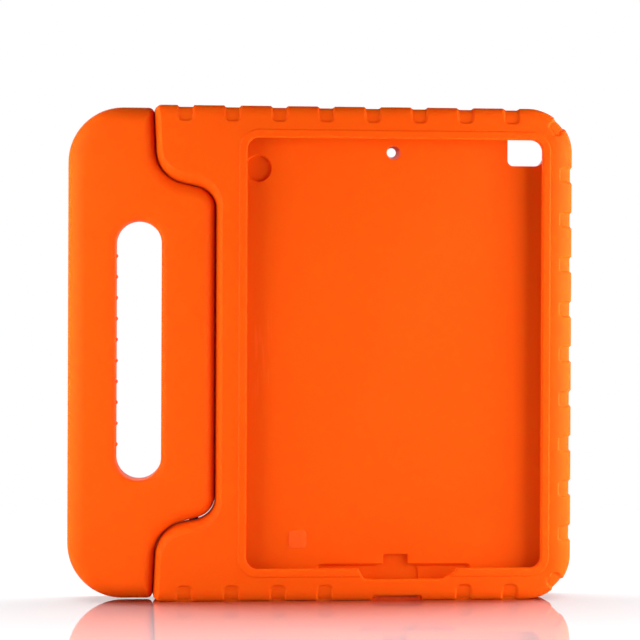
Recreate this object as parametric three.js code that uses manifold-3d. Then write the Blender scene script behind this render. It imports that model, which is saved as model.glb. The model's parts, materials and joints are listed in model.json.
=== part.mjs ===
// A child's tablet case of moulded EVA foam, with a carry handle that swivels on two pins.
//
// Millimetres, +Z up. The case stands on its bottom edge and its front faces -Y. The origin is at the
// middle of the standing case's footprint, on the surface that it stands on.
//
// Outlines are drawn as seen from the front, with x to the right and z up, and x is measured from the
// handle's pivot. Depth runs along Y, and the middle plane of the foam is y = 0.

import * as THREE from 'three';
import { mergeVertices } from 'three/addons/utils/BufferGeometryUtils.js';
import Module from 'manifold-3d';

const wasm = await Module();
wasm.setup();

// The tablet that the case is made for, and the pocket that holds it
const tabletWidth = 169.5;
const tabletHeight = 240;
const tabletThickness = 7.5;
const tabletCornerRadius = 8;
const tabletFit = 0.25;

// The foam shell round the pocket
const sideWall = 8.6;
const endWall = 7.1;
const hingeWall = 7.05;
const caseThickness = 24;
const caseCornerRadius = 22.5;
const lipThickness = 2.5;
const sideLipOverlap = 8.6;
const endLipOverlap = 9.3;
const openingCornerRadius = 6;
const lipBandWidth = 4.4;
const lipBandRise = 0.4;
const pocketFloorFillet = 1.5;

// The carry handle
const handleThickness = 21;
const handleReach = 65;
const handleCornerRadius = 28.5;
const handleShortfall = 0.7;
const slotWidth = 23.5;
const slotLength = 133.5;
const slotRise = 1.3;
const gripWidth = 24.7;
const ribCount = 10;
const ribPitch = 10.84;
const ribWidth = 2.2;
const ribProud = 1;
const ribLength = 8;

// The seam between the handle's tongue and the case's ears
const seamGap = 0.9;
const upperEndGap = 1.4;
const lowerEndGap = 2.2;
const tongueHalfHeight = 83.9;
const tongueEndSlope = 0.22;
const earReach = 19.3;
const earLean = 1.8;
const earTipRadius = 3;
const earHeelRadius = 17.5;
const tongueCornerRadius = 11.5;

// The two hinge pins
const pinDiameter = 4.8;
const pinClearance = 0.35;
const pinInEar = 14;
const pinInTongue = 16;
const pinEndChamfer = 0.6;

// How far each kind of edge rolls over: across the face, and into the depth
const sideRoll = { width: 10, depth: 7 };
const endRoll = { width: 6, depth: 2.5 };
const seamRoll = { width: 6.5, depth: 11 };
const earEndRoll = { width: 9, depth: 11 };
const handleRoll = { width: 10, depth: 9.5 };
const shoulderRoll = { width: 6.5, depth: 9.5 };
const tongueRoll = { width: 8.5, depth: 10.5 };
const tongueTipRoll = { width: 10, depth: 10 };
const lipRoll = { width: 1.1, depth: 1.1 };
const slotRoll = { width: 3.6, depth: 4 };

// Shallow grip recesses moulded into the shell's outer edge
const recessWidth = 7.8;
const recessReach = 8;
const recessDepth = 0.7;
const endRecessPitch = 24.05;
const endRecessCount = 8;
const endRecessFromRight = 33.3;
const sideRecessPitch = 23.3;
const sideRecessCount = 9;

// Openings and marks in the pocket
const cameraWidth = 18.7;
const cameraHeight = 17.5;
const cameraFromPocketRight = 6.4;
const cameraFromPocketTop = 4.5;
const cameraCornerRadius = 3;
const cameraOuterRadius = 7;
const micDiameter = 7.3;
const micBackDiameter = 4.8;
const micBackRise = 1.2;
const micFromPocketTop = 15.7;
const magnetDiameter = 13.6;
const magnetDepth = 1.5;
const magnetFromPocketLeft = 14.4;
const magnetFromPocketTop = 24.4;
const padSize = 9.6;
const padRise = 0.4;
const padCornerRadius = 2.5;
const padFromPocketLeft = 35.4;
const padFromPocketBottom = 23.4;

// The charging port, its recess in the pocket's floor and the home-button notch in the lip
const portFromPocketMiddle = 1.8;
const portWidth = 24.4;
const portFloorDepth = 2.5;
const portShoulderHeight = 10.2;
const portShoulderRadius = 3.5;
const portTabWidth = 13;
const portTabHeight = 5.2;
const portCornerRadius = 1;
const portFrontSkin = 2.8;
const soundChannelWidth = 79.5;
const soundChannelDepth = 2.4;
const soundChannelRadius = 1;
const notchLeftReach = 15.2;
const notchLeftSlope = 4.7;
const notchRightReach = 24.7;
const notchRightSlope = 13;
const notchDepth = 5.7;
const notchCornerRadius = 1.5;
const reliefWidth = 25;
const reliefFlare = 2;
const reliefHeight = 2.7;
const reliefCornerRadius = 1;

// How finely the round stretches are cut
const cornerSteps = 5;
const rollLevels = [0, 0.4, 0.67, 0.84, 0.95, 1];
const mouthSteps = 3;
const roundSteps = 16;
const recessSteps = 3;
const ribSides = 8;
const overrun = 2;
const smallestRadius = 0.4;
const roundEndSlack = 0.05;
const mergeDistance = 1e-5;

// Sizes that follow from the ones above
const pocketWidth = tabletWidth + 2 * tabletFit;
const pocketHeight = tabletHeight + 2 * tabletFit;
const pocketDepth = tabletThickness + 2 * tabletFit;
const pocketRadius = tabletCornerRadius + tabletFit;
const caseHeight = pocketHeight + 2 * endWall;
const middleZ = caseHeight / 2;
const caseHalf = caseThickness / 2;
const handleHalf = handleThickness / 2;
const tongueEndX = handleHalf + seamGap / 2;
const pocketLeft = tongueEndX + seamGap / 2 + hingeWall;
const pocketRight = pocketLeft + pocketWidth;
const caseRight = pocketRight + sideWall;
const pocketMiddle = (pocketLeft + pocketRight) / 2;
const portMiddle = pocketMiddle + portFromPocketMiddle;
const pocketBottom = endWall;
const pocketTop = pocketBottom + pocketHeight;
const pocketFrontY = -caseHalf + lipThickness;
const floorY = pocketFrontY + pocketDepth;
const slotLeft = gripWidth - handleReach;
const slotMiddleZ = middleZ + slotRise;
const centreX = (caseRight - handleReach) / 2;
const seamZAtPivot = tongueHalfHeight + tongueEndSlope * tongueEndX;

// Solids of geometry, for joining and cutting

function solidFrom(geometry) {
  const bare = geometry.clone();
  bare.deleteAttribute('normal');
  bare.deleteAttribute('uv');
  const merged = mergeVertices(bare, mergeDistance);
  const mesh = new wasm.Mesh({
    numProp: 3,
    vertProperties: new Float32Array(merged.attributes.position.array),
    triVerts: new Uint32Array(merged.index.array),
  });
  return new wasm.Manifold(mesh);
}

function geometryFrom(solid) {
  const mesh = solid.getMesh();
  const geometry = new THREE.BufferGeometry();
  geometry.setAttribute('position', new THREE.BufferAttribute(mesh.vertProperties, 3));
  geometry.setIndex(new THREE.BufferAttribute(mesh.triVerts, 1));
  geometry.computeVertexNormals();
  return geometry;
}

function joined(solids) {
  return solids.reduce((whole, piece) => whole.add(piece));
}

// A closed solid through a stack of outlines, front to back, that all have as many points
function loft(rings) {
  const count = rings[0].outline.length;
  const positions = rings.flatMap(({ y, outline }) => outline.flatMap((point) => [point.x, y, point.y]));
  const triangles = [];
  const front = THREE.ShapeUtils.triangulateShape(rings[0].outline, []);
  front.forEach(([a, b, c]) => triangles.push(a, b, c));
  for (let ring = 0; ring < rings.length - 1; ring += 1) {
    for (let i = 0; i < count; i += 1) {
      const a = ring * count + i;
      const b = ring * count + ((i + 1) % count);
      triangles.push(a, a + count, b + count, a, b + count, b);
    }
  }
  const last = (rings.length - 1) * count;
  const back = THREE.ShapeUtils.triangulateShape(rings[rings.length - 1].outline, []);
  back.forEach(([a, b, c]) => triangles.push(last + a, last + c, last + b));
  const geometry = new THREE.BufferGeometry();
  geometry.setAttribute('position', new THREE.Float32BufferAttribute(positions, 3));
  geometry.setIndex(triangles);
  return solidFrom(geometry);
}

// Outlines

// One corner of an outline, with the side that runs from it to the next corner
function corner(x, z, radius, side = {}) {
  return { at: new THREE.Vector2(x, z), radius, side };
}

// The corners in anticlockwise order become a smooth outline, each side moved in by its own inset
function roundedOutline(corners, insetOf = () => 0) {
  const count = corners.length;
  const sides = corners.map(({ at, side }, i) => {
    const along = corners[(i + 1) % count].at.clone().sub(at).normalize();
    const inset = insetOf(side);
    const inward = new THREE.Vector2(-along.y, along.x);
    return { along, inward, inset, start: at.clone().addScaledVector(inward, inset) };
  });
  return corners.flatMap(({ radius }, i) => {
    const before = sides[(i + count - 1) % count];
    const after = sides[i];
    const sine = before.along.cross(after.along);
    const turn = Math.atan2(sine, before.along.dot(after.along));
    const reach = after.start.clone().sub(before.start).cross(after.along) / sine;
    const vertex = before.start.clone().addScaledVector(before.along, reach);
    const bend = Math.sign(turn);
    const inset = (before.inset + after.inset) / 2;
    const arcRadius = Math.max(radius - bend * inset, smallestRadius);
    const tangent = arcRadius * Math.tan(Math.abs(turn) / 2);
    const centre = vertex.clone().addScaledVector(before.along, -tangent);
    centre.addScaledVector(before.inward, bend * arcRadius);
    const first = Math.atan2(-bend * before.inward.y, -bend * before.inward.x);
    return Array.from({ length: cornerSteps + 1 }, (_, step) => {
      const angle = first + (turn * step) / cornerSteps;
      return new THREE.Vector2(centre.x + arcRadius * Math.cos(angle), centre.y + arcRadius * Math.sin(angle));
    });
  });
}

function rectangle(left, right, bottom, top, radius) {
  return [
    corner(left, bottom, radius),
    corner(right, bottom, radius),
    corner(right, top, radius),
    corner(left, top, radius),
  ];
}

// How far a rolled side has come in at a depth y of foam that is two half-thicknesses deep
function rollInset({ width = 0, depth = 1 }, y, half) {
  const into = Math.max(Math.abs(y) - (half - depth), 0) / depth;
  return width * (1 - Math.sqrt(Math.max(1 - into * into, 0)));
}

// A slab of foam with each side of its outline rolled over at the front and the back, cut at levels
// that are shares of its half thickness
function rolledSlab(corners, half, skin = 0) {
  const levels = [...rollLevels.slice(1).reverse().map((level) => -level), ...rollLevels];
  return loft(levels.map((level) => {
    const insetOf = ({ gap = 0, roll = {} }) => gap / 2 + rollInset(roll, level * half, half) + skin;
    return { y: level * (half - skin), outline: roundedOutline(corners, insetOf) };
  }));
}

// A straight cutter or block between two depths, which may widen towards either end
function block(corners, steps) {
  return loft(steps.map(([y, growth = 0]) => ({ y, outline: roundedOutline(corners, () => -growth) })));
}

// The depths and widenings of a cut whose mouth is rolled over, from outside the face inwards
function rolledMouth(faceY, inwards, { width, depth }) {
  const steps = [[faceY - inwards * overrun, width]];
  for (let step = 0; step <= mouthSteps; step += 1) {
    const angle = (Math.PI / 2) * (step / mouthSteps);
    steps.push([faceY + inwards * depth * (1 - Math.cos(angle)), width * (1 - Math.sin(angle))]);
  }
  return steps;
}

// The seam's corners run from the top ear tip to the bottom one, down the tongue's end
function seamCorners(topZ, bottomZ) {
  const ear = { gap: seamGap };
  const upperEnd = { gap: upperEndGap };
  const lowerEnd = { gap: lowerEndGap };
  const face = { gap: seamGap };
  const heel = tongueHalfHeight + tongueEndSlope * (tongueEndX + earReach);
  const leanAt = (z) => (earLean * (Math.abs(z - middleZ) - heel)) / (middleZ - heel);
  return [
    corner(-earReach - leanAt(topZ), topZ, earTipRadius, ear),
    corner(-earReach, middleZ + heel, earHeelRadius, upperEnd),
    corner(tongueEndX, middleZ + tongueHalfHeight, tongueCornerRadius, face),
    corner(tongueEndX, middleZ - tongueHalfHeight, tongueCornerRadius, lowerEnd),
    corner(-earReach, middleZ - heel, earHeelRadius, ear),
    corner(-earReach - leanAt(bottomZ), bottomZ, earTipRadius),
  ];
}

// The shell's outline: along the bottom, up the right side, back along the top and down the seam
function shellCorners() {
  const seam = seamCorners(caseHeight, 0);
  const rolls = [seamRoll, earEndRoll, seamRoll, earEndRoll, seamRoll];
  seam.slice(0, 5).forEach((each, i) => {
    each.side = { gap: each.side.gap, roll: rolls[i] };
  });
  seam[5].side = { roll: endRoll };
  return [
    corner(caseRight, 0, caseCornerRadius, { roll: sideRoll }),
    corner(caseRight, caseHeight, caseCornerRadius, { roll: endRoll }),
    ...seam,
  ];
}

// The handle's outline: up the seam from its lower tip, along the top and down the long edge
function handleCorners() {
  const top = caseHeight - handleShortfall;
  const bottom = handleShortfall;
  const seam = seamCorners(top, bottom);
  const rolls = [shoulderRoll, tongueTipRoll, tongueRoll, tongueTipRoll, shoulderRoll];
  const upwards = seam.map((each) => corner(each.at.x, each.at.y, each.radius)).reverse();
  rolls.forEach((roll, i) => {
    upwards[i].side = { gap: seam[4 - i].side.gap, roll };
  });
  upwards[5].side = { roll: handleRoll };
  return [
    ...upwards,
    corner(-handleReach, top, handleCornerRadius, { roll: handleRoll }),
    corner(-handleReach, bottom, handleCornerRadius, { roll: handleRoll }),
  ];
}

// The hole for a hinge pin, long enough for both its halves, above or below the middle
function pinBore(side) {
  const length = pinInEar + pinInTongue + 2 * pinClearance;
  const geometry = new THREE.CylinderGeometry(
    pinDiameter / 2 + pinClearance, pinDiameter / 2 + pinClearance, length, roundSteps);
  geometry.rotateX(Math.PI / 2);
  geometry.translate(0, 0, middleZ + side * (seamZAtPivot + (pinInEar - pinInTongue) / 2));
  return solidFrom(geometry);
}

// The grip recesses are the outer skin of the shell, taken away inside upright round-ended prisms
function recessPrism(x, z, angle, width, reach) {
  const outline = new THREE.Shape();
  const round = Math.min(width / 2, reach) - roundEndSlack;
  outline.moveTo(-width / 2, overrun * 2);
  outline.absarc(round - width / 2, round - reach, round, Math.PI, Math.PI * 1.5, false);
  outline.absarc(width / 2 - round, round - reach, round, Math.PI * 1.5, Math.PI * 2, false);
  outline.lineTo(width / 2, overrun * 2);
  const depth = caseThickness + 2 * overrun;
  const geometry = new THREE.ExtrudeGeometry(outline, { depth, bevelEnabled: false, curveSegments: recessSteps });
  geometry.translate(0, 0, -depth / 2);
  geometry.rotateX(Math.PI / 2);
  geometry.rotateY(-angle);
  geometry.translate(x, 0, z);
  return solidFrom(geometry);
}

function gripRecesses() {
  const prisms = [];
  for (let i = 0; i < endRecessCount; i += 1) {
    const x = caseRight - endRecessFromRight - i * endRecessPitch;
    prisms.push(recessPrism(x, caseHeight, 0, recessWidth, recessReach));
    if (Math.abs(x - portMiddle) > (reliefWidth + recessWidth) / 2 + reliefFlare) {
      prisms.push(recessPrism(x, 0, Math.PI, recessWidth, recessReach));
    }
  }
  for (let i = 0; i < sideRecessCount; i += 1) {
    const z = middleZ + (i - (sideRecessCount - 1) / 2) * sideRecessPitch;
    prisms.push(recessPrism(caseRight, z, -Math.PI / 2, recessWidth, recessReach));
  }
  const inFromCorner = caseCornerRadius * (1 - Math.SQRT1_2);
  const cornerX = caseRight - inFromCorner;
  prisms.push(recessPrism(cornerX, caseHeight - inFromCorner, -Math.PI / 4, recessWidth, recessReach));
  prisms.push(recessPrism(cornerX, inFromCorner, -Math.PI * 0.75, recessWidth, recessReach));
  return joined(prisms);
}

// The pocket, with the wider channel for sound along its bottom wall
function pocketCutter() {
  const pocket = block(rectangle(pocketLeft, pocketRight, pocketBottom, pocketTop, pocketRadius), [
    [pocketFrontY],
    [floorY - pocketFloorFillet],
    [floorY, -pocketFloorFillet],
  ]);
  const channel = block(
    rectangle(
      pocketMiddle - soundChannelWidth / 2, pocketMiddle + soundChannelWidth / 2,
      pocketBottom - soundChannelDepth, pocketBottom + pocketRadius, soundChannelRadius),
    [[pocketFrontY], [floorY]]);
  return pocket.add(channel);
}

// The opening in the lip, with its rolled edge and the notch that clears the home button
function openingCutter() {
  const steps = [...rolledMouth(-caseHalf - lipBandRise, 1, lipRoll), [pocketFrontY + lipRoll.depth]];
  const bottom = pocketBottom + endLipOverlap;
  const opening = rectangle(
    pocketLeft + sideLipOverlap, pocketRight - sideLipOverlap, bottom, pocketTop - endLipOverlap,
    openingCornerRadius);
  const notchLeft = pocketMiddle - notchLeftReach;
  const notchRight = pocketMiddle + notchRightReach;
  const notch = [
    corner(notchLeft, bottom - notchDepth, notchCornerRadius),
    corner(notchRight, bottom - notchDepth, notchCornerRadius),
    corner(notchRight + notchRightSlope, bottom + overrun, notchCornerRadius),
    corner(notchLeft - notchLeftSlope, bottom + overrun, notchCornerRadius),
  ];
  return block(opening, steps).add(block(notch, steps));
}

// The port's way through the bottom wall, the stepped recess that it leaves in the floor, and the
// relief that it has in the skin in front of it
function portCutter() {
  const shoulder = pocketBottom + portShoulderHeight;
  const half = portWidth / 2;
  const tab = portTabWidth / 2;
  const outline = [
    corner(portMiddle - half, -overrun, portCornerRadius),
    corner(portMiddle + half, -overrun, portCornerRadius),
    corner(portMiddle + half, shoulder, portShoulderRadius),
    corner(portMiddle + tab, shoulder, portCornerRadius),
    corner(portMiddle + tab, shoulder + portTabHeight, portCornerRadius),
    corner(portMiddle - tab, shoulder + portTabHeight, portCornerRadius),
    corner(portMiddle - tab, shoulder, portCornerRadius),
    corner(portMiddle - half, shoulder, portShoulderRadius),
  ];
  const recess = block(outline, [[pocketFrontY + pocketDepth / 2], [floorY + portFloorDepth]]);
  const wayFrontY = -caseHalf + portFrontSkin;
  const way = block(
    rectangle(
      portMiddle - half, portMiddle + half, -overrun, pocketBottom + portCornerRadius,
      portCornerRadius),
    [[wayFrontY], [floorY + portFloorDepth]]);
  const reliefFoot = reliefWidth / 2 + reliefFlare;
  const relief = block([
    corner(portMiddle - reliefFoot, -overrun, reliefCornerRadius),
    corner(portMiddle + reliefFoot, -overrun, reliefCornerRadius),
    corner(portMiddle + reliefWidth / 2, reliefHeight, reliefCornerRadius),
    corner(portMiddle - reliefWidth / 2, reliefHeight, reliefCornerRadius),
  ], [[-caseHalf - overrun], [wayFrontY + portCornerRadius]]);
  return joined([recess, way, relief]);
}

// The camera's window, with a larger radius towards the tablet's corner
function cameraCutter() {
  const right = pocketRight - cameraFromPocketRight;
  const top = pocketTop - cameraFromPocketTop;
  return block([
    corner(right - cameraWidth, top - cameraHeight, cameraCornerRadius),
    corner(right, top - cameraHeight, cameraOuterRadius),
    corner(right, top, cameraCornerRadius),
    corner(right - cameraWidth, top, cameraCornerRadius),
  ], [[floorY - overrun], [caseHalf + overrun]]);
}

// The microphone's hole narrows and rises towards the back
function micCutter() {
  const circle = (y, diameter, z) => ({
    y,
    outline: Array.from({ length: roundSteps }, (_, i) => {
      const angle = (2 * Math.PI * i) / roundSteps;
      const radius = diameter / 2;
      return new THREE.Vector2(pocketMiddle + radius * Math.cos(angle), z + radius * Math.sin(angle));
    }),
  });
  const z = pocketTop - micFromPocketTop;
  return loft([
    circle(floorY - overrun, micDiameter, z),
    circle(floorY, micDiameter, z),
    circle(caseHalf, micBackDiameter, z + micBackRise),
    circle(caseHalf + overrun, micBackDiameter, z + micBackRise),
  ]);
}

function magnetRecess() {
  const height = magnetDepth + overrun;
  const geometry = new THREE.CylinderGeometry(magnetDiameter / 2, magnetDiameter / 2, height, roundSteps);
  geometry.translate(
    pocketLeft + magnetFromPocketLeft, floorY + magnetDepth - height / 2, pocketTop - magnetFromPocketTop);
  return solidFrom(geometry);
}

function floorPad() {
  const left = pocketLeft + padFromPocketLeft - padSize / 2;
  const bottom = pocketBottom + padFromPocketBottom - padSize / 2;
  return block(
    rectangle(left, left + padSize, bottom, bottom + padSize, padCornerRadius),
    [[floorY - padRise], [floorY + padRise]]);
}

function caseBody() {
  const corners = shellCorners();
  const shell = rolledSlab(corners, caseHalf);
  const core = rolledSlab(corners, caseHalf, recessDepth);
  const sideEdge = sideLipOverlap - lipBandWidth;
  const endEdge = endLipOverlap - lipBandWidth;
  const lipBand = block(
    rectangle(
      pocketLeft + sideEdge, pocketRight - sideEdge, pocketBottom + endEdge, pocketTop - endEdge,
      openingCornerRadius + lipBandWidth),
    [[-caseHalf - lipBandRise], [-caseHalf + lipBandRise]]);
  return shell
    .subtract(gripRecesses().subtract(core))
    .add(lipBand)
    .subtract(pocketCutter())
    .subtract(openingCutter())
    .add(floorPad())
    .subtract(joined([portCutter(), cameraCutter(), micCutter(), magnetRecess()]))
    .subtract(pinBore(1))
    .subtract(pinBore(-1));
}

// The slot that the fingers go through, with rolled edges at the front and the back
function slotCutter() {
  const radius = slotWidth / 2 - roundEndSlack;
  const outline = rectangle(
    slotLeft, slotLeft + slotWidth, slotMiddleZ - slotLength / 2, slotMiddleZ + slotLength / 2, radius);
  const mouths = [rolledMouth(-handleHalf, 1, slotRoll), rolledMouth(handleHalf, -1, slotRoll).reverse()];
  return block(outline, mouths.flat());
}

// Small ribs across the slot's outer wall, where the fingertips rest
function gripRibs() {
  const ribs = Array.from({ length: ribCount }, (_, i) => {
    const z = slotMiddleZ + (i - (ribCount - 1) / 2) * ribPitch;
    const geometry = new THREE.CylinderGeometry(ribWidth / 2, ribWidth / 2, ribLength, ribSides);
    geometry.scale(ribProud / (ribWidth / 2), 1, 1);
    geometry.translate(slotLeft, 0, z);
    return solidFrom(geometry);
  });
  return joined(ribs);
}

function handleBody() {
  return rolledSlab(handleCorners(), handleHalf)
    .subtract(slotCutter())
    .add(gripRibs())
    .subtract(pinBore(1))
    .subtract(pinBore(-1));
}

// A hinge pin stands across the gap at the tongue's end, partly in the ear and partly in the tongue
function hingePin(side) {
  const half = (pinInEar + pinInTongue) / 2;
  const radius = pinDiameter / 2;
  const profile = [
    new THREE.Vector2(0, -half),
    new THREE.Vector2(radius - pinEndChamfer, -half),
    new THREE.Vector2(radius, -half + pinEndChamfer),
    new THREE.Vector2(radius, half - pinEndChamfer),
    new THREE.Vector2(radius - pinEndChamfer, half),
    new THREE.Vector2(0, half),
  ];
  const geometry = new THREE.LatheGeometry(profile, roundSteps);
  geometry.rotateX(Math.PI / 2);
  geometry.translate(0, 0, middleZ + side * (seamZAtPivot + (pinInEar - pinInTongue) / 2));
  return geometry;
}

const foam = { color: 0xff5f14, roughness: 0.62, metalness: 0 };
const pinMetal = { color: 0x202022, roughness: 0.4, metalness: 0.6 };

function piece(name, geometry, finish) {
  const mesh = new THREE.Mesh(geometry, new THREE.MeshStandardMaterial(finish));
  mesh.name = name;
  mesh.position.x = -centreX;
  return mesh;
}

const tabletCase = new THREE.Group();
tabletCase.add(piece('case_body', geometryFrom(caseBody()), foam));
tabletCase.add(piece('handle', geometryFrom(handleBody()), foam));
tabletCase.add(piece('upper_hinge_pin', hingePin(1), pinMetal));
tabletCase.add(piece('lower_hinge_pin', hingePin(-1), pinMetal));

export default tabletCase;
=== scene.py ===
# %% [markdown]
# # A foam case for a child's tablet
# A thick block of orange foam grips a tablet behind a soft lip. A carry handle turns beside it on
# two short pins, so that it can also stand behind the case as a leg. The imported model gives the
# sizes, the joint and the names. This script makes the fine skin that is seen: rounder edges, soft
# recesses, the stepped lip, and the look of moulded foam.

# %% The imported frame
import json
import math

import bmesh
import bpy
from mathutils import Matrix, Vector


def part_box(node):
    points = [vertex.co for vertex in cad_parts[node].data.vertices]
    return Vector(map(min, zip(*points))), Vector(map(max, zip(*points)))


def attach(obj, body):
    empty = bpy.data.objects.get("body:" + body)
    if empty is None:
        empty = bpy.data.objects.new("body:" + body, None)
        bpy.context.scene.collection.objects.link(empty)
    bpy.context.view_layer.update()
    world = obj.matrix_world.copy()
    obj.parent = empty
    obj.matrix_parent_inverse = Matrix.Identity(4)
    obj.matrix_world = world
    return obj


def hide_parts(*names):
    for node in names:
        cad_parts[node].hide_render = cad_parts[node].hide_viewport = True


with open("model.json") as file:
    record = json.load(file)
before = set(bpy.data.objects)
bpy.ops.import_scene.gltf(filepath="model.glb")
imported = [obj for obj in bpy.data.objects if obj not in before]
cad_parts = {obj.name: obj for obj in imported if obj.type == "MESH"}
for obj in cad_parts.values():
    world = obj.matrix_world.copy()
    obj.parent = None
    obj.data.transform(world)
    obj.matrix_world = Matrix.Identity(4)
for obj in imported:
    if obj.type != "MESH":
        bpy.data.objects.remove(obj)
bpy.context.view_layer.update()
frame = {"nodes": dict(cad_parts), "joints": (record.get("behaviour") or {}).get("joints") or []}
print("frame nodes", sorted(frame["nodes"]))

# %% [markdown]
# ## Sizes
# Everything is drawn in millimetres, with x measured from the handle's pivot, as a mould maker
# would draw it, and is turned into metres at the end. The outer sizes come from the frame, so the
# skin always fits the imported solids. The foam's middle plane is y = 0 and the front faces -y.

# %% Main sizes in millimetres
MILLIMETRE = 0.001
pivot = Vector(frame["joints"][0]["pos_m"])
case_low, case_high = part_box("case_body")
handle_low, handle_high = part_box("handle")
case_height = case_high.z / MILLIMETRE
case_right = (case_high.x - pivot.x) / MILLIMETRE
case_half = case_high.y / MILLIMETRE
band_rise = -case_low.y / MILLIMETRE - case_half
handle_left = (handle_low.x - pivot.x) / MILLIMETRE
handle_half = handle_high.y / MILLIMETRE
handle_top = handle_high.z / MILLIMETRE
handle_bottom = handle_low.z / MILLIMETRE
middle_z = case_height / 2
print("case", round(case_right, 2), "by", round(case_height, 2), "half", round(case_half, 2))

# %% [markdown]
# ## Rings
# A moulded foam slab is one outline whose edges roll over towards both faces. The plain way to
# model it is a stack of closed rings, front to back, with faces bridged between them. Each ring
# starts from one vertex at each corner, which a spin turns into an arc. Straight edges join the
# arcs and are cut up evenly. Every ring of a stack has as many vertices, so the bridges are clean
# quads.

# %% Corners and the arcs that round them
smallest_radius = 0.4
arc_spacing = 1.0
fewest_arc_steps = 6


class Corner:
    """A corner of an outline, with the side that runs from it to the next corner."""

    def __init__(self, x, z, radius, gap=0.0, roll=(0.0, 1.0, 1.0), spacing=4.0):
        self.at = Vector((x, z))
        self.radius = radius
        self.gap = gap
        self.roll = roll
        self.spacing = spacing
        self.arc_steps = fewest_arc_steps
        self.cuts = 0


def arcs_of(corners, inset_of):
    """Start, centre and turn of each corner's arc, once its sides have moved in by their insets."""
    sides = []
    for corner, following in zip(corners, corners[1:] + corners[:1]):
        along = (following.at - corner.at).normalized()
        inward = Vector((-along.y, along.x))
        inset = inset_of(corner)
        sides.append((along, inward, inset, corner.at + inward * inset))
    arcs = []
    for i, corner in enumerate(corners):
        along_in, inward_in, inset_in, start_in = sides[i - 1]
        along_out, _, inset_out, start_out = sides[i]
        sine = along_in.cross(along_out)
        turn = math.atan2(sine, along_in.dot(along_out))
        vertex = start_in + along_in * ((start_out - start_in).cross(along_out) / sine)
        bend = math.copysign(1, turn)
        radius = max(corner.radius - bend * (inset_in + inset_out) / 2, smallest_radius)
        start = vertex - along_in * (radius * math.tan(abs(turn) / 2))
        arcs.append((start, start + inward_in * (bend * radius), turn))
    return arcs


def plan_cuts(corners):
    """Settles how many vertices each arc and side has, the same in every ring of a stack."""
    arcs = arcs_of(corners, lambda corner: 0.0)
    for i, corner in enumerate(corners):
        start, centre, turn = arcs[i]
        radius = (start - centre).length
        corner.arc_steps = max(round(abs(turn) * radius / arc_spacing), fewest_arc_steps)
        following = arcs[(i + 1) % len(corners)][0]
        run = (following - start).length
        corner.cuts = max(round(run / corner.spacing) - 1, 0)


def ring(bm, corners, y, inset_of):
    """One closed ring at depth y, made of spun arcs and evenly cut straight edges."""
    loop = bmesh.new()
    ends = []
    for corner, (start, centre, turn) in zip(corners, arcs_of(corners, inset_of)):
        first = loop.verts.new((start.x, y, start.y))
        spun = bmesh.ops.spin(
            loop, geom=[first], cent=(centre.x, y, centre.y), axis=(0, -1, 0), dvec=(0, 0, 0),
            angle=turn, steps=corner.arc_steps, use_duplicate=False)
        ends.append((first, spun["geom_last"][0]))
    followers = ends[1:] + ends[:1]
    sides = [loop.edges.new((end[1], following[0])) for end, following in zip(ends, followers)]
    for corner, side in zip(corners, sides):
        if corner.cuts:
            bmesh.ops.subdivide_edges(loop, edges=[side], cuts=corner.cuts)
    return added(bm, loop)


def added(bm, loop):
    """Moves a small bmesh into a bigger one, and gives back the edges it brought."""
    known = len(bm.edges)
    passing = bpy.data.meshes.new("loop")
    loop.to_mesh(passing)
    loop.free()
    bm.from_mesh(passing)
    bpy.data.meshes.remove(passing)
    bm.edges.ensure_lookup_table()
    return bm.edges[known:]


def bridged(bm, rings):
    """Bridges a stack of rings and closes its two ends."""
    for near, far in zip(rings, rings[1:]):
        bmesh.ops.bridge_loops(bm, edges=near + far)
    for end in (rings[0], rings[-1]):
        bmesh.ops.edgeloop_fill(bm, edges=end)
    bmesh.ops.recalc_face_normals(bm, faces=bm.faces)
    return bm


# %% [markdown]
# ## Rolled edges
# The roll of a foam edge is close to a quarter of an ellipse, wide across the face and deep into
# the slab, and each side has its own width, depth and reach. A reach below 1 stops the ellipse
# early, which leaves a crisp border on the face, as the foam has along its seam. The rings crowd
# together towards the faces, where an ellipse bends most. The face can have more rings inside its
# roll, for detail that is pressed in later. Each of those is a hair higher than the last, because
# bridging twists rings that lie in one plane.

# %% A slab with rolled edges
level_count = 15
face_crown = 0.002
overrun = 2.0


def roll_inset(roll, y, half):
    """How far a side has rolled in at depth y of a slab that is two halves thick."""
    width, depth, reach = roll
    into = min(max(abs(y) - (half - depth), 0.0) / depth, 1.0) * reach
    return width * (1 - math.sqrt(max(1 - into * into, 0.0)))


def levels(half):
    """Depths from the front face to the back one, crowded towards both."""
    front = [-half * (1 - (step / level_count) ** 2) for step in range(level_count)]
    return front + [0.0] + [-y for y in reversed(front)]


def slab(corners, half, face_insets=()):
    """A closed slab. The face insets are more rings inside the rolls, each a hair higher."""
    bm = bmesh.new()
    plan_cuts(corners)
    rim = half - face_crown * len(face_insets)
    inner = [(rim + face_crown * step, inset) for step, inset in enumerate(sorted(face_insets), 1)]
    stations = [(-y, inset) for y, inset in reversed(inner)]
    stations += [(y, 0.0) for y in levels(rim)]
    stations += inner
    rings = []
    for y, more in stations:
        rings.append(ring(
            bm, corners, y,
            lambda corner: corner.gap / 2 + roll_inset(corner.roll, y, rim) + more))
    return bridged(bm, rings)


def block(corners, steps):
    """A closed block or cutter through steps of (depth, widening)."""
    bm = bmesh.new()
    plan_cuts(corners)
    rings = [ring(bm, corners, y, lambda corner: -growth) for y, growth in steps]
    return bridged(bm, rings)


def rolled_mouth(face_y, inwards, roll, steps=8):
    """Steps of a cutter that starts outside a face and leaves a rolled edge at its mouth."""
    width, depth = roll
    mouth = [(face_y - inwards * overrun, width)]
    for step in range(steps + 1):
        angle = math.pi / 2 * step / steps
        y = face_y + inwards * depth * (1 - math.cos(angle))
        mouth.append((y, width * (1 - math.sin(angle))))
    return mouth


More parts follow.
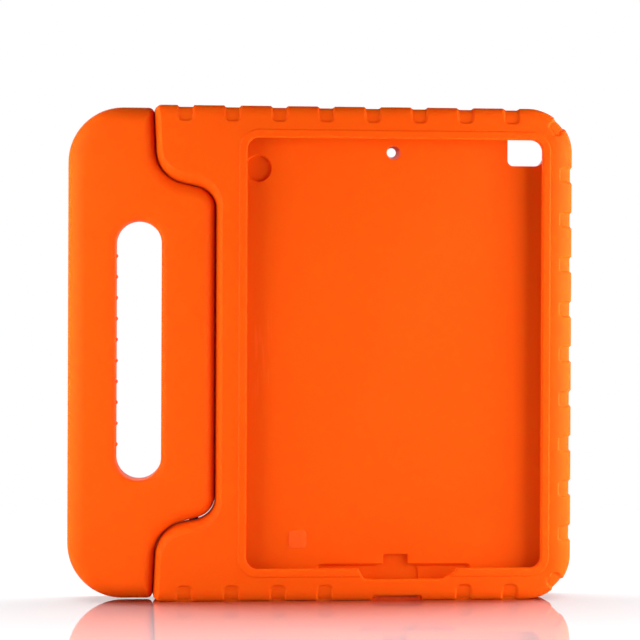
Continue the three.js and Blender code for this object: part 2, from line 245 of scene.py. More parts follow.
def rectangle(left, right, bottom, top, radius):
    """The four corners of a rounded rectangle, anticlockwise from the lower left."""
    places = ((left, bottom), (right, bottom), (right, top), (left, top))
    return [Corner(x, z, radius) for x, z in places]


# %% [markdown]
# ## Pieces and cuts
# A bmesh becomes an object once its place and its scale are in its mesh. The pocket, its windows
# and the slot are cut with Boolean modifiers, whose cutters have rolled mouths of their own. That
# keeps each opening a few readable lines, and the edges it leaves are as soft as the rest.

# %% From bmesh to object, and from object to object
def piece_from(bm, name):
    """An object at the origin whose mesh holds its size in metres and its place."""
    bmesh.ops.scale(bm, vec=(MILLIMETRE,) * 3, verts=bm.verts)
    bmesh.ops.translate(bm, vec=(pivot.x, pivot.y, 0), verts=bm.verts)
    mesh = bpy.data.meshes.new(name)
    bm.to_mesh(mesh)
    bm.free()
    piece = bpy.data.objects.new(name, mesh)
    bpy.context.scene.collection.objects.link(piece)
    return piece


def carve(piece, bm, operation="DIFFERENCE"):
    """Cuts a closed bmesh out of a piece, or joins it on, and leaves no modifier behind."""
    tool = piece_from(bm, "tool")
    modifier = piece.modifiers.new("carve", "BOOLEAN")
    modifier.object = tool
    modifier.operation = operation
    modifier.solver = "MANIFOLD"
    shown = piece.evaluated_get(bpy.context.evaluated_depsgraph_get())
    carved = bpy.data.meshes.new_from_object(shown)
    piece.modifiers.clear()
    piece.data = carved
    bpy.data.objects.remove(tool)


def refill(bm, many=24):
    """Cuts the wide flat faces into triangles afresh, because they can go round a hole."""
    planes = {}
    for face in bm.faces:
        if len(face.verts) > many:
            depth = round(face.normal.dot(face.verts[0].co), 5)
            planes.setdefault((face.normal.copy().freeze(), depth), []).append(face)
    for (normal, _), faces in planes.items():
        borders = list(dict.fromkeys(edge for face in faces for edge in face.edges))
        bmesh.ops.delete(bm, geom=faces, context="FACES_ONLY")
        bmesh.ops.triangle_fill(bm, use_beauty=True, edges=borders, normal=normal)


def shade(piece, sharp_degrees=35):
    """Smooth faces, with the edges that turn more than an angle left sharp."""
    bm = bmesh.new()
    bm.from_mesh(piece.data)
    bmesh.ops.dissolve_degenerate(bm, dist=1e-7, edges=bm.edges)
    refill(bm)
    for face in bm.faces:
        face.smooth = True
    for edge in bm.edges:
        edge.smooth = edge.calc_face_angle(0.0) < math.radians(sharp_degrees)
    bm.to_mesh(piece.data)
    bm.free()
    piece.data.calc_loop_triangles()
    print(piece.name, "triangles", len(piece.data.loop_triangles))
    return piece


# %% [markdown]
# ## The seam
# The handle's tongue sits between two ears of the case. One line of corners describes the seam for
# both pieces, and each of them keeps back half of the gap. The gap is a hair less than nothing,
# because foam touches foam there. The line leans out to the ear tips, runs in under the rounded
# ear and along the tongue's end, and then down the tongue's face. Only at the tongue's lower end
# does the seam open, as a thin wedge in which a pin shows.

# %% The seam's corners
seam_gap = -0.06
seam_spacing = 2
lower_end_opening = 1.1
lower_root_closing = 0.17
half_clearance = 0.45
tongue_end_x = handle_half + half_clearance
tongue_half_height = 83.9
tongue_end_slope = 0.22
tongue_end_radius = 11.5
ear_reach = 19.3
ear_lean = 1.8
ear_tip_radius = 3
ear_root_radius = 17.5


def seam_corners(top_z, bottom_z):
    """The seam from the top ear tip down to the bottom one. Gaps are on the sides."""
    heel = tongue_half_height + tongue_end_slope * (tongue_end_x + ear_reach)

    def lean_at(z):
        return ear_lean * (abs(z - middle_z) - heel) / (middle_z - heel)

    def seam_corner(x, z, radius):
        return Corner(x, z, radius, gap=seam_gap, spacing=seam_spacing)

    top_of_face = middle_z + tongue_half_height
    return [
        seam_corner(-ear_reach - lean_at(top_z), top_z, ear_tip_radius),
        seam_corner(-ear_reach, middle_z + heel, ear_root_radius),
        Corner(tongue_end_x, top_of_face, tongue_end_radius, gap=seam_gap),
        seam_corner(tongue_end_x, middle_z - tongue_half_height, tongue_end_radius),
        seam_corner(-ear_reach, middle_z - heel, ear_root_radius),
        Corner(-ear_reach - lean_at(bottom_z), bottom_z, ear_tip_radius),
    ]


# %% [markdown]
# ## The case body
# The shell's outline goes along the bottom, up the right side, back along the top and down the
# seam. The bottom's roll is shallow, so that the case has a foot to stand on. The outer edge
# carries shallow grip recesses, moulded in at an even pitch. They are made by pushing the fine
# skin in along its own normals, under a mask with soft borders, because a cut would leave edges
# much sharper than foam has.

# %% The shell's outline
side_roll = (12, 10, 1.0)
end_roll = (6, 2.5, 1.0)
seam_roll = (5.6, 11, 0.94)
ear_end_roll = (7, 11, 0.975)
case_corner_radius = 22.5
recess_spacing = 0.8
face_ring_spacing = 0.5
face_ring_count = 8


def shell_corners():
    """The outline of the case's shell with the roll of each side."""
    seam = seam_corners(case_height, 0)
    rolls = (seam_roll, ear_end_roll, seam_roll, ear_end_roll, seam_roll, end_roll)
    for corner, roll in zip(seam, rolls):
        corner.roll = roll
    bottom_side = seam[-1]
    bottom_side.spacing = recess_spacing
    return [
        Corner(case_right, 0, case_corner_radius, roll=side_roll, spacing=recess_spacing),
        Corner(case_right, case_height, case_corner_radius, roll=end_roll, spacing=recess_spacing),
        *seam,
    ]


face_insets = [face_ring_spacing * step for step in range(1, face_ring_count + 1)]
case_bm = slab(shell_corners(), case_half, face_insets)
print("shell", len(case_bm.verts), "vertices")

# %% Grip recesses
recess_size = (7.8, 8.0)
recess_depth = 0.95
recess_softness = 0.45
recess_round = 2.5
recess_neighbourhood = 15
end_recess_count = 8
end_recess_pitch = 24.05
end_recess_from_right = 33.3
side_recesses_each_way = 4
side_recess_pitch = 23.3
port_from_case_middle = 39.2
port_middle = port_from_case_middle - pivot.x / MILLIMETRE
port_keeps_free = 22
foot_height = 0.01


def recess_places():
    """Middle of each recess's mouth, and the direction from there into the foam."""
    places = []
    for i in range(end_recess_count):
        x = case_right - end_recess_from_right - i * end_recess_pitch
        places.append((Vector((x, case_height)), Vector((0, -1))))
        if abs(x - port_middle) > port_keeps_free:
            places.append((Vector((x, 0)), Vector((0, 1))))
    for i in range(-side_recesses_each_way, side_recesses_each_way + 1):
        z = middle_z + i * side_recess_pitch
        places.append((Vector((case_right, z)), Vector((-1, 0))))
    diagonal = math.sqrt(0.5)
    cut_in = case_corner_radius * (1 - diagonal)
    x = case_right - cut_in
    places.append((Vector((x, case_height - cut_in)), Vector((-diagonal, -diagonal))))
    places.append((Vector((x, cut_in)), Vector((-diagonal, diagonal))))
    return places


def soft_step(value):
    """Goes smoothly from 0 to 1 while the value does."""
    clipped = min(max(value, 0.0), 1.0)
    return clipped * clipped * (3 - 2 * clipped)


def recess_mask(point, place, inwards):
    """1 inside a round-ended recess that is open outwards, and 0 outside it."""
    away = point - place
    sideways = Vector((-inwards.y, inwards.x))
    across = abs(away.dot(sideways)) - (recess_size[0] / 2 - recess_round)
    down = away.dot(inwards) - (recess_size[1] - recess_round)
    beyond = math.hypot(max(across, 0.0), max(down, 0.0))
    outside = beyond + min(max(across, down), 0.0) - recess_round
    return soft_step(0.5 - outside / (2 * recess_softness))


def press_recesses(bm):
    """Pushes the skin in along its normals under each recess's mask. The foot stays flat."""
    bm.normal_update()
    places = recess_places()
    moves = []
    for vert in bm.verts:
        if vert.co.z < foot_height:
            continue
        point = Vector((vert.co.x, vert.co.z))
        mask = 0.0
        for place, inwards in places:
            if (point - place).length < recess_neighbourhood:
                mask = max(mask, recess_mask(point, place, inwards))
        if mask > 0:
            moves.append((vert, vert.normal * (-recess_depth * mask)))
    for vert, move in moves:
        vert.co += move
    print("recesses", len(places), "moved", len(moves), "vertices")


press_recesses(case_bm)
case_body = piece_from(case_bm, "case_shell")

# %% [markdown]
# ## The lip
# A raised band runs round the opening, with a low step on its outer side. Its inner edge rolls
# over into the pocket. Below the home button the lip is cut away to a shallow notch.

# %% The raised band round the opening
side_wall = 8.6
end_wall = 7.1
hinge_wall = 7.05
side_lip = 8.6
end_lip = 9.3
band_width = 4.4
band_step_softness = 0.75
band_root = 0.3
opening_radius = 6.0
pocket_left = tongue_end_x + half_clearance + hinge_wall
pocket_right = case_right - side_wall
pocket_bottom = end_wall
pocket_top = case_height - end_wall
pocket_middle = (pocket_left + pocket_right) / 2
opening_bottom = pocket_bottom + end_lip
opening = (
    pocket_left + side_lip, pocket_right - side_lip, opening_bottom, pocket_top - end_lip)


def grown(box, more):
    """A left, right, bottom and top, moved out by more."""
    return (box[0] - more, box[1] + more, box[2] - more, box[3] + more)


band_front = -case_half - band_rise
band_steps = [
    (band_front, -band_step_softness), (band_front + band_rise, 0.0), (-case_half + band_root, 0.0)]
band_corners = rectangle(*grown(opening, band_width), opening_radius + band_width)
carve(case_body, block(band_corners, band_steps), "UNION")
print("band round the opening", [round(edge, 1) for edge in opening])

# %% The pocket and the opening in the lip
lip_thickness = 2.5
lip_roll = (1.1, 1.1)
lip_overcut = 0.5
pocket_depth = 8.0
pocket_radius = 8.25
floor_fillet = 1.5
channel_half = 39.75
channel_depth = 2.4
channel_radius = 1
pocket_front = -case_half + lip_thickness
floor_y = pocket_front + pocket_depth


def filleted_end(y, radius, steps=6):
    """Steps that close a cutter at depth y with a fillet round its end."""
    fillet = []
    for step in range(steps + 1):
        angle = math.pi / 2 * step / steps
        fillet.append((y - radius * (1 - math.sin(angle)), -radius * (1 - math.cos(angle))))
    return fillet


pocket = rectangle(pocket_left, pocket_right, pocket_bottom, pocket_top, pocket_radius)
carve(case_body, block(pocket, [(pocket_front, 0.0)] + filleted_end(floor_y, floor_fillet)))
through_lip = [(pocket_front + lip_overcut, 0.0)]
mouth = rolled_mouth(band_front, 1, lip_roll) + through_lip
carve(case_body, block(rectangle(*opening, opening_radius), mouth))
channel = rectangle(
    pocket_middle - channel_half, pocket_middle + channel_half, pocket_bottom - channel_depth,
    pocket_bottom + pocket_radius, channel_radius)
carve(case_body, block(channel, [(pocket_front, 0.0), (floor_y, 0.0)]))
print("pocket floor at", round(floor_y, 2))

# %% The notch below the home button
notch_bottom = opening_bottom - 5.7
notch_top = opening_bottom + overrun
notch_left = pocket_middle - 15.2
notch_right = pocket_middle + 24.7
notch_left_slope = 4.7
notch_right_slope = 13.0
notch_face = -case_half - 0.05
notch_roll = (0.9, 0.9)
notch_corners = [
    Corner(notch_left, notch_bottom, 2.5),
    Corner(notch_right, notch_bottom, 6),
    Corner(notch_right + notch_right_slope, notch_top, 2),
    Corner(notch_left - notch_left_slope, notch_top, 2),
]
carve(case_body, block(notch_corners, rolled_mouth(notch_face, 1, notch_roll) + through_lip))
print("notch from", round(notch_left, 1), "to", round(notch_right, 1))

# %% [markdown]
# ## The pocket's floor
# The floor has what the tablet needs: a window for its camera, a tapered hole for its microphone,
# a round recess for a magnet, a low pad, and the stepped recess where the charging plug comes in,
# with a sunk strip to both sides of it. Each is a short list of depths, with how wide or how
# large the cutter is at that depth.

# %% Camera window
camera_right = pocket_right - 4.2
camera_top = pocket_top - 4.5
camera_width = 20.9
camera_height = 17.5
camera_left = camera_right - camera_width
camera_bottom = camera_top - camera_height
floor_edge = (0.4, 0.4)
back_edge = (1.0, 1.0)
camera_corners = [
    Corner(camera_left, camera_bottom, 3),
    Corner(camera_right, camera_bottom, 7),
    Corner(camera_right, camera_top, 3),
    Corner(camera_left, camera_top, 3),
]
through = rolled_mouth(floor_y, 1, floor_edge, 4) + rolled_mouth(case_half, -1, back_edge, 5)[::-1]
carve(case_body, block(camera_corners, through))
print("camera window", camera_width, "by", camera_height)

# %% Microphone hole, magnet recess and pad
quarter_turn = Matrix.Rotation(math.pi / 2, 3, "X")
mic_z = pocket_top - 15.7
mic_lean = 1.2
magnet_x = pocket_left + 14.4
magnet_z = pocket_top - 24.4
pad_side = 9.6
pad_radius = 2.5
pad_left = pocket_left + 30.6
pad_bottom = pocket_bottom + 18.6


def round_cutter(x, z, steps, segments=48):
    """A turned cutter through steps of (depth, radius, rise)."""
    bm = bmesh.new()
    rings = []
    for y, radius, rise in steps:
        loop = bmesh.new()
        bmesh.ops.create_circle(loop, segments=segments, radius=radius)
        bmesh.ops.rotate(loop, verts=loop.verts, cent=(0, 0, 0), matrix=quarter_turn)
        bmesh.ops.translate(loop, verts=loop.verts, vec=(x, y, z + rise))
        rings.append(added(bm, loop))
    return bridged(bm, rings)


mic_steps = [
    (floor_y - overrun, 3.95, 0), (floor_y, 3.95, 0), (floor_y + 0.3, 3.65, 0),
    (case_half - 0.4, 2.4, mic_lean), (case_half, 2.8, mic_lean),
    (case_half + overrun, 2.8, mic_lean)]
carve(case_body, round_cutter(pocket_middle, mic_z, mic_steps))
magnet_steps = [
    (floor_y - overrun, 7.1, 0), (floor_y, 7.1, 0), (floor_y + 0.3, 6.8, 0),
    (floor_y + 1.2, 6.8, 0), (floor_y + 1.5, 6.5, 0)]
carve(case_body, round_cutter(magnet_x, magnet_z, magnet_steps))
pad_corners = rectangle(
    pad_left, pad_left + pad_side, pad_bottom, pad_bottom + pad_side, pad_radius)
pad_steps = [
    (floor_y - 0.5, -0.9), (floor_y - 0.42, -0.4), (floor_y - 0.2, -0.1), (floor_y + 0.3, 0.0)]
carve(case_body, block(pad_corners, pad_steps), "UNION")
print("hole, magnet and pad at", [round(x, 1) for x in (pocket_middle, magnet_x, pad_left)])

# %% The sunk strip by the port
strip_left = port_middle - 40.5
strip_right = port_middle + 38.5
strip_bottom = pocket_bottom + 2
strip_top = 16.5
strip_radius = 1.5
strip_steps = [(floor_y - 0.5, 1.2), (floor_y, 1.2), (floor_y + 1.8, -0.4)]
strip = rectangle(strip_left, strip_right, strip_bottom, strip_top, strip_radius)
carve(case_body, block(strip, strip_steps))
print("strip from", round(strip_left, 1), "to", round(strip_right, 1))

# %% The charging port
port_half = 12.2
tab_half = 6.5
shoulder_z = pocket_bottom + 10.2
tab_z = shoulder_z + 5.2
shoulder_radius = 3.8
tab_radius = 0.8
port_edge = (0.3, 0.3)
port_floor = floor_y + 2.5
port_left = port_middle - port_half
port_right = port_middle + port_half
port_corners = [
    Corner(port_left, -overrun, 1),
    Corner(port_right, -overrun, 1),
    Corner(port_right, shoulder_z, shoulder_radius),
    Corner(port_middle + tab_half, shoulder_z, tab_radius),
    Corner(port_middle + tab_half, tab_z, tab_radius),
    Corner(port_middle - tab_half, tab_z, tab_radius),
    Corner(port_middle - tab_half, shoulder_z, tab_radius),
    Corner(port_left, shoulder_z, shoulder_radius),
]
port_steps = rolled_mouth(floor_y, 1, port_edge, 3) + [(port_floor, 0.0)]
carve(case_body, block(port_corners, port_steps))
way_front = -case_half + 2.8
way = rectangle(port_left, port_right, -overrun, pocket_bottom + 1, 1)
carve(case_body, block(way, [(way_front, 0.0), (port_floor, 0.0)]))
relief_half_low = 14.5
relief_half_high = 12.5
relief_height = 2.7
relief_radius = 1.2
relief_edge = (0.8, 1.2)
relief_back = -case_half + 4
relief = [
    Corner(port_middle - relief_half_low, -overrun, 1),
    Corner(port_middle + relief_half_low, -overrun, 1),
    Corner(port_middle + relief_half_high, relief_height, relief_radius),
    Corner(port_middle - relief_half_high, relief_height, relief_radius),
]
relief_steps = rolled_mouth(-case_half, 1, relief_edge) + [(relief_back, 0.0)]
carve(case_body, block(relief, relief_steps))
print("port", 2 * port_half, "wide, middle at", round(port_middle, 1))

# %% The pins' bores in the ears
pin_radius = 2.4
pin_clearance = 0.35
pin_length = 30.0
pin_in_ear = 14.0
seam_at_pivot = tongue_half_height + tongue_end_slope * tongue_end_x
pin_middle = seam_at_pivot + pin_in_ear - pin_length / 2
case_sharp_degrees = 18


def upright_cylinder(z, radius, length, segments=48):
    """A closed cylinder that stands on the handle's axis."""
    bm = bmesh.new()
    bmesh.ops.create_cone(
        bm, cap_ends=True, segments=segments, radius1=radius, radius2=radius, depth=length)
    bmesh.ops.translate(bm, verts=bm.verts, vec=(0, 0, z))
    return bm


def bore_for_pins(piece):
    """Drills the two bores, each a little wider and longer than its pin."""
    for side in (-1, 1):
        carve(piece, upright_cylinder(
            middle_z + side * pin_middle, pin_radius + pin_clearance,
            pin_length + 2 * pin_clearance))


bore_for_pins(case_body)
shade(case_body, case_sharp_degrees)

# %% [markdown]
# ## The handle
# The handle is a thinner slab of the same foam, rounder at its long edge, with a tongue that turns
# between the ears. Its side of the seam is the case's line followed the other way, from bottom to
# top. The slot for the fingers rolls over at both mouths, and small ribs stand on its outer wall.

# %% The handle's outline
handle_roll = (10, 9.5, 1.0)
shoulder_roll = (6.5, 9.5, 1.0)
tongue_tip_roll = (8, 10, 0.99)
tongue_roll = (6.5, 10.5, 0.985)
handle_corner_radius = 28.5


def handle_corners():
    """The handle's outline: up the seam from its lower tip, along the top and down the edge."""
    seam = seam_corners(handle_top, handle_bottom)
    tongue_lower_corner, lower_root = seam[3], seam[4]
    tongue_lower_corner.at.y += lower_end_opening
    lower_root.at.y -= lower_root_closing
    gaps = [corner.gap for corner in reversed(seam[:-1])] + [0.0]
    rolls = (
        shoulder_roll, tongue_tip_roll, tongue_roll, tongue_tip_roll, shoulder_roll, handle_roll)
    upwards = [
        Corner(*corner.at, corner.radius, gap=gap, roll=roll, spacing=seam_spacing)
        for corner, gap, roll in zip(reversed(seam), gaps, rolls)]
    return upwards + [
        Corner(handle_left, handle_top, handle_corner_radius, roll=handle_roll),
        Corner(handle_left, handle_bottom, handle_corner_radius, roll=handle_roll),
    ]


handle = piece_from(slab(handle_corners(), handle_half), "carry_handle")
print("handle from", round(handle_bottom, 1), "to", round(handle_top, 1))

# %% The slot and its ribs
grip_width = 24.7
slot_width = 23.5
slot_length = 133.5
slot_rise = 1.3
slot_roll = (3.6, 4.0)
slot_end_radius = slot_width / 2 - 0.05
slot_left = handle_left + grip_width
slot_middle_z = middle_z + slot_rise
rib_count = 10
rib_pitch = 10.84
rib_half_size = (0.9, 4.2, 1.1)
rib_behind_middle = 1.0
slot_corners = rectangle(
    slot_left, slot_left + slot_width, slot_middle_z - slot_length / 2,
    slot_middle_z + slot_length / 2, slot_end_radius)
slot_steps = rolled_mouth(-handle_half, 1, slot_roll)
slot_steps += rolled_mouth(handle_half, -1, slot_roll)[::-1]
carve(handle, block(slot_corners, slot_steps))
for i in range(rib_count):
    rib = bmesh.new()
    bmesh.ops.create_uvsphere(rib, u_segments=20, v_segments=12, radius=1.0)
    bmesh.ops.scale(rib, verts=rib.verts, vec=rib_half_size)
    rib_z = slot_middle_z + (i - (rib_count - 1) / 2) * rib_pitch
    bmesh.ops.translate(rib, verts=rib.verts, vec=(slot_left, rib_behind_middle, rib_z))
    carve(handle, rib, "UNION")
bore_for_pins(handle)
shade(handle)

# %% [markdown]
# ## The hinge pins
# Each pin stands across the seam at one end of the tongue. Only a few millimetres of the lower one
# show, so a chamfered rod of dark metal is all that it needs. A rod's rims are the only edges
# where its faces meet squarely, and that is how the bevel finds them.

# %% Two chamfered pins
pin_chamfer = 0.6
rim_angle = math.radians(60)
pins = {}
for name, side in (("upper", 1), ("lower", -1)):
    pin_bm = upright_cylinder(middle_z + side * pin_middle, pin_radius, pin_length)
    rims = [edge for edge in pin_bm.edges if edge.calc_face_angle() > rim_angle]
    bmesh.ops.bevel(
        pin_bm, geom=rims, offset=pin_chamfer, segments=3, profile=0.5, affect="EDGES",
        material=-1)
    pins[name] = shade(piece_from(pin_bm, name + "_pin"))

# %% [markdown]
# ## Materials
# Shader maths reads best as plain expressions, so a small class wraps a socket and gives it
# operators. Every other node comes from one method, and four short ones name what is used often:
# maths on vectors, a vector's length, a smooth rise from 0 to 1, and a mix of two colours.

# %% Shader maths as expressions
class Maths:
    """A socket that takes part in Python expressions by adding Math nodes."""

    def __init__(self, tree, socket):
        self.tree = tree
        self.socket = socket

    def combine(self, operation, first, second):
        node = self.tree.node("ShaderNodeMath", {"operation": operation}, {0: first, 1: second})
        return Maths(self.tree, node.outputs[0])

    def either(self, other):
        """1 where this value or the other one is 1."""
        return self.combine("MAXIMUM", self, other)

    def __add__(self, other):
        return self.combine("ADD", self, other)

    def __radd__(self, other):
        return self.combine("ADD", other, self)

    def __sub__(self, other):
        return self.combine("SUBTRACT", self, other)

    def __rsub__(self, other):
        return self.combine("SUBTRACT", other, self)

    def __mul__(self, other):
        return self.combine("MULTIPLY", self, other)

    def __rmul__(self, other):
        return self.combine("MULTIPLY", other, self)


class Finish:
    """The node tree of a material or of the world, with one method that adds any node."""

    def __init__(self, owner):
        owner.use_nodes = True
        self.owner = owner
        self.nodes = owner.node_tree.nodes
        self.links = owner.node_tree.links
        self.nodes.clear()

    def feed(self, socket, value):
        """Links a socket, or sets its own value."""
        if isinstance(value, Maths):
            value = value.socket
        if isinstance(value, bpy.types.NodeSocket):
            self.links.new(value, socket)
        else:
            socket.default_value = value

    def node(self, kind, settings=None, inputs=None):
        """A node of a kind, with its settings first and then its sockets' values or links."""
        node = self.nodes.new(kind)
        for key, value in (settings or {}).items():
            setattr(node, key, value)
        for key, value in (inputs or {}).items():
            self.feed(node.inputs[key], value)
        return node

    def maths(self, node, output=0):
        """A node's output, ready for expressions."""
        return Maths(self, node.outputs[output])

    def vector(self, operation, *inputs):
        """The vector that a Vector Math node makes."""
        node = self.node("ShaderNodeVectorMath", {"operation": operation}, dict(enumerate(inputs)))
        return node.outputs[0]

    def length(self, vector):
        """How long a vector is."""
        return self.maths(
            self.node("ShaderNodeVectorMath", {"operation": "LENGTH"}, {0: vector}), "Value")

    def rise(self, value, start, end):
        """Goes smoothly from 0 to 1 while a value goes from start to end."""
        return self.maths(self.node(
            "ShaderNodeMapRange", {"interpolation_type": "SMOOTHSTEP"},
            {"Value": value, "From Min": start, "From Max": end}))

    def mixed(self, share, first, second):
        """A colour that goes from a first one to a second one with a share."""
        node = self.node(
            "ShaderNodeMix", {"data_type": "RGBA"}, {"Factor": share, "A": first, "B": second})
        return node.outputs["Result"]


# %% [markdown]
# ## Moulded foam
# Closed-cell foam has a thin satin skin. Its colour is even but not flat: it drifts a little over
# the block, and the skin shows fine pits and a faint orange-peel wave. The bump stays low, because
# at arm's length the foam looks smooth. Light goes a little way into foam and comes out redder, so
# part of the light is spread under the skin, red furthest. Streaks inside a patch make the scuffs,
# which are a little paler and rougher than the rest. A second patch paints a highlight on the pad:
# its paler colour stands in for light catching the raised pad.

# %% Colours and patches of the foam
foam_colour = (0.85, 0.096, 0.0024, 1)
foam_shade = (0.81, 0.088, 0.0021, 1)
foam_worn = (0.90, 0.115, 0.0120, 1)
# Painted highlight: the pad's paler colour stands in for light catching the raised pad.
pad_painted_highlight = (0.90, 0.115, 0.0150, 1)
floor_y_metres = floor_y * MILLIMETRE
scuff_place = (-0.0345, floor_y_metres, 0.129)
scuff_half_size = (0.002, 0.004, 0.018)
scuff_softness = 0.012
# Where the pad's painted highlight lies, and how soft its border is, in metres.
pad_highlight_place = (
    pivot.x + (pad_left + pad_side / 2) * MILLIMETRE, floor_y_metres,
    (pad_bottom + pad_side / 2) * MILLIMETRE)
pad_highlight_half_size = (0.0040, 0.002, 0.0040)
pad_highlight_softness = 0.0012


def patch(finish, place, middle, half_size, softness):
    """1 inside a soft-edged box round a middle point, and 0 outside it. All in metres."""
    away = finish.vector("ABSOLUTE", finish.vector("SUBTRACT", place, middle))
    outside = finish.vector("MAXIMUM", finish.vector("SUBTRACT", away, half_size), (0, 0, 0))
    return 1 - finish.rise(finish.length(outside), 0.0, softness)


# %% Foam
def foam_material():
    """Satin closed-cell foam."""
    foam = Finish(bpy.data.materials.new("orange_foam"))
    place = foam.node("ShaderNodeTexCoord").outputs["Object"]
    drawn_out = foam.vector("MULTIPLY", place, (1, 1, 0.06))

    def noise(where, scale, detail=2.0):
        return foam.maths(foam.node(
            "ShaderNodeTexNoise", {}, {"Vector": where, "Scale": scale, "Detail": detail}))

    drift = noise(place, 14.0, 3.0)
    wave = noise(place, 220.0)
    pits = noise(place, 2600.0)
    streaks = foam.rise(noise(drawn_out, 900.0), 0.52, 0.66)
    scuffs = streaks * patch(foam, place, scuff_place, scuff_half_size, scuff_softness)
    # The pad's patch is a painted highlight, paler where light would catch the raised pad.
    pad = patch(foam, place, pad_highlight_place, pad_highlight_half_size, pad_highlight_softness)
    plain = foam.mixed(drift, foam_shade, foam_colour)
    worn = foam.mixed(scuffs * 0.6, plain, foam_worn)
    colour = foam.mixed(pad * 0.7, worn, pad_painted_highlight)
    height = wave * 0.35 + pits * 0.25
    bump = foam.node(
        "ShaderNodeBump", {}, {"Height": height, "Strength": 0.12, "Distance": 0.0004})
    surface = foam.node("ShaderNodeBsdfPrincipled", {}, {
        "Base Color": colour,
        "Roughness": pits * 0.1 + drift * 0.06 + scuffs * 0.15 + 0.5,
        "Normal": bump.outputs[0],
        "Specular IOR Level": 0.04,
        "Subsurface Weight": 0.5,
        "Subsurface Radius": (1.0, 0.1, 0.04),
        "Subsurface Scale": 0.008,
    })
    foam.node("ShaderNodeOutputMaterial", {}, {"Surface": surface.outputs[0]})
    return foam.owner


def dress(pieces, material):
    """Gives pieces a material, and nothing else."""
    for piece in pieces:
        piece.data.materials.clear()
        piece.data.materials.append(material)
    print(material.name, "has", len(material.node_tree.nodes), "nodes")


dress([case_body, handle], foam_material())


# %% Dark pin metal
def pin_material():
    """Blackened steel with a slightly uneven polish."""
    steel = Finish(bpy.data.materials.new("dark_pin"))
    place = steel.node("ShaderNodeTexCoord").outputs["Object"]
    grain = steel.maths(steel.node(
        "ShaderNodeTexNoise", {}, {"Vector": place, "Scale": 900.0, "Detail": 2.0}))
    surface = steel.node("ShaderNodeBsdfPrincipled", {}, {
        "Base Color": (0.02, 0.02, 0.022, 1),
        "Metallic": 0.8,
        "Roughness": grain * 0.2 + 0.3,
    })
    steel.node("ShaderNodeOutputMaterial", {}, {"Surface": surface.outputs[0]})
    return steel.owner


dress(pins.values(), pin_material())

# %% What each piece stands for
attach(case_body, "case")
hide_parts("case_body")
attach(handle, "handle")
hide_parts("handle")
for name, pin in pins.items():
    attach(pin, "case")
    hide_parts(name + "_hinge_pin")

# %% [markdown]
# ## The stage
# The case stands on a sheet of white gloss. Near the case the sheet is a real surface, which takes
# its shadow and mirrors it. Further out it fades to clear, so that it meets the white background
# without a line. How strongly it mirrors depends on how flat the view is, as on any glossy
# plastic.

# %% Floor
floor_half = 1.5
floor_solid = 0.22
floor_clear = 0.52
floor_colour = (0.93, 0.93, 0.95, 1)


def floor_material():
    """White gloss that fades out away from the case."""
    gloss = Finish(bpy.data.materials.new("white_floor"))
    place = gloss.node("ShaderNodeTexCoord").outputs["Object"]
    fade = gloss.rise(gloss.length(place), floor_solid, floor_clear)
    surface = gloss.node("ShaderNodeBsdfPrincipled", {}, {
        "Base Color": floor_colour, "Metallic": 0.25, "Roughness": 0.03, "IOR": 2.5})
    clear = gloss.node("ShaderNodeBsdfTransparent")
    both = gloss.node(
        "ShaderNodeMixShader", {}, {0: fade, 1: surface.outputs[0], 2: clear.outputs[0]})
    gloss.node("ShaderNodeOutputMaterial", {}, {"Surface": both.outputs[0]})
    return gloss.owner


floor_bm = bmesh.new()
bmesh.ops.create_grid(floor_bm, x_segments=1, y_segments=1, size=floor_half)
floor_mesh = bpy.data.meshes.new("floor")
floor_bm.to_mesh(floor_mesh)
floor_bm.free()
floor = bpy.data.objects.new("floor", floor_mesh)
bpy.context.scene.collection.objects.link(floor)
dress([floor], floor_material())

# %% [markdown]
# ## The background and the light
# The background is white to the camera, to gloss and through glass, and nearly dark to everything
# else, so it adds almost no light of its own. The light comes from large soft boxes, as in a
# product studio: one at the front left and one at the front right, one at each side that draws a
# bright rim, one behind, and one above the floor. Each box falls only on the case or only on the
# floor, so the white of the floor and the orange of the foam are set one by one.

# %% World
ambient_strength = 0.04
white = (1, 1, 1, 1)
world = bpy.data.worlds.new("studio")
bpy.context.scene.world = world
studio = Finish(world)
path = studio.node("ShaderNodeLightPath")
mirrored = studio.maths(path, "Is Camera Ray").either(path.outputs["Is Glossy Ray"])
seen = mirrored.either(path.outputs["Is Transmission Ray"])
ambient = studio.node("ShaderNodeBackground", {}, {"Color": white, "Strength": ambient_strength})
backdrop = studio.node("ShaderNodeBackground", {}, {"Color": white, "Strength": 1.0})
either_one = studio.node(
    "ShaderNodeMixShader", {}, {0: seen, 1: ambient.outputs[0], 2: backdrop.outputs[0]})
studio.node("ShaderNodeOutputWorld", {}, {"Surface": either_one.outputs[0]})
print("world has", len(world.node_tree.nodes), "nodes")


# %% Lights
def soft_box(name, place, target, size, power, lit):
    """A box of soft light that faces a target and falls only on some things."""
    data = bpy.data.lights.new(name, "AREA")
    data.shape = "RECTANGLE"
    data.size, data.size_y = size
    data.energy = power
    light = bpy.data.objects.new(name, data)
    light.location = place
    light.rotation_euler = (Vector(target) - Vector(place)).to_track_quat("-Z", "Y").to_euler()
    light.visible_camera = False
    light.light_linking.receiver_collection = lit
    bpy.context.scene.collection.objects.link(light)


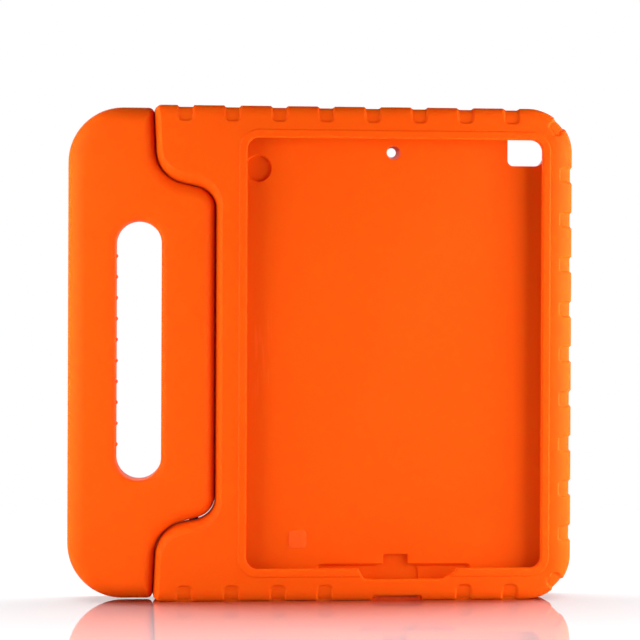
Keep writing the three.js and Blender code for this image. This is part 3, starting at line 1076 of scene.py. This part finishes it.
def group_of(name, things):
    """A collection that only says what a light falls on."""
    group = bpy.data.collections.new(name)
    for thing in things:
        group.objects.link(thing)
    return group


on_case = group_of("lit_case", [case_body, handle, *pins.values()])
on_floor = group_of("lit_floor", [floor])
middle = (0.0, 0.0, 0.127)
soft_box("left_box", (-0.309, -0.131, 0.186), middle, (0.337, 0.358), 1.7, on_case)
soft_box("right_box", (0.330, -0.175, 0.152), middle, (0.270, 0.330), 1.95, on_case)
soft_box("left_rim", (-0.45, -0.01, 0.20), middle, (0.30, 0.35), 0.3, on_case)
soft_box("right_rim", (0.45, -0.01, 0.16), middle, (0.30, 0.35), 1.3, on_case)
soft_box("back_box", (0.0, 0.9, 0.5), middle, (1.2, 0.6), 6, on_case)
soft_box("floor_box", (0.0, 0.14, 1.0), (0.0, 0.14, 0.0), (1.6, 0.28), 18, on_floor)
print("lights", len(bpy.data.lights))

# %% [markdown]
# ## The camera
# The photograph was taken from straight ahead, so the camera stands 0.9 m in front of the case and
# looks nearly level. Its small turns come from how the case's edges lean in the photograph. The
# focal length is worked out in pixels of the picture, and then in millimetres of the sensor.

# %% Camera
image_width = 640
focal_px = 1730.4
camera_yaw = math.radians(3.593)
camera_pitch = math.radians(-0.33)
camera_roll = math.radians(0.24)
forward = Vector((
    math.sin(camera_yaw) * math.cos(camera_pitch), math.cos(camera_yaw) * math.cos(camera_pitch),
    math.sin(camera_pitch)))
camera_data = bpy.data.cameras.new("camera")
camera_data.sensor_width = 36.0
camera_data.lens = focal_px / image_width * camera_data.sensor_width
camera = bpy.data.objects.new("camera", camera_data)
camera.location = (-0.0572, -0.9, 0.1498)
turn = forward.to_track_quat("-Z", "Y").to_matrix().to_4x4()
camera.rotation_euler = turn.to_euler()
camera.rotation_euler.rotate_axis("Z", camera_roll)
bpy.context.scene.collection.objects.link(camera)
bpy.context.scene.camera = camera
bpy.context.scene.view_settings.view_transform = "Standard"
print("lens", round(camera_data.lens, 1))

# %% The end
bpy.context.view_layer.update()
